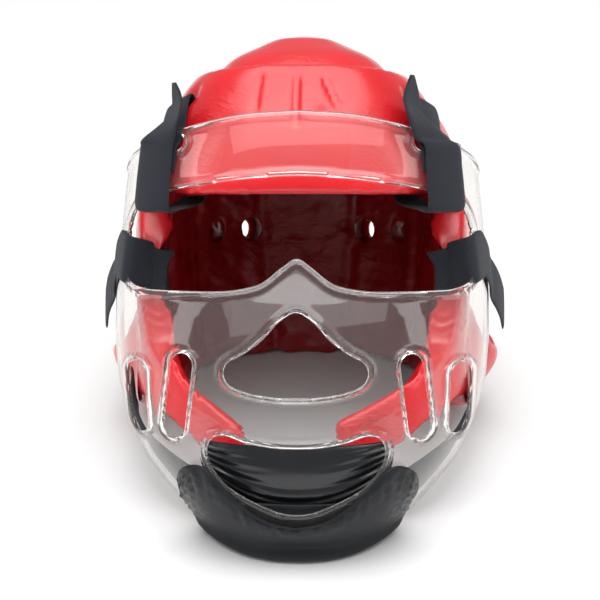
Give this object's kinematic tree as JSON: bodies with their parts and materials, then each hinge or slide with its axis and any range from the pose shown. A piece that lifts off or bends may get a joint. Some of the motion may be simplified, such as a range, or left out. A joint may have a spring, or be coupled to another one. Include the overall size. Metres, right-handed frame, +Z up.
{
  "type": "sparring headgear with face shield",
  "caption": "Padded dipped-foam sparring headgear with a clear vented face shield, webbing straps and a padded chin cup.",
  "frame": {"origin": "floor level under the middle of the whole headgear's box, as it rests", "axes": "+Z up, the face towards -Y and leaning back, +X towards the wearer's left"},
  "size_m": [0.2466, 0.3014, 0.2367],
  "materials": {
    "red_foam": "glossy dipped vinyl skin",
    "clear_shield": "clear polished polycarbonate",
    "webbing": "woven, soft sheen",
    "leather": "matte, soft",
    "glossy_vinyl": "glossy, folded"
  },
  "bodies": {
    "root": {"headgear_shell": "red_foam", "face_shield": "clear_shield", "brow_strap_left": "webbing", "brow_strap_right": "webbing", "side_strap_left": "webbing", "side_strap_right": "webbing", "chin_cup": "leather", "chin_pad": "glossy_vinyl", "chin_strap": "webbing"}
  },
  "joints": []
}
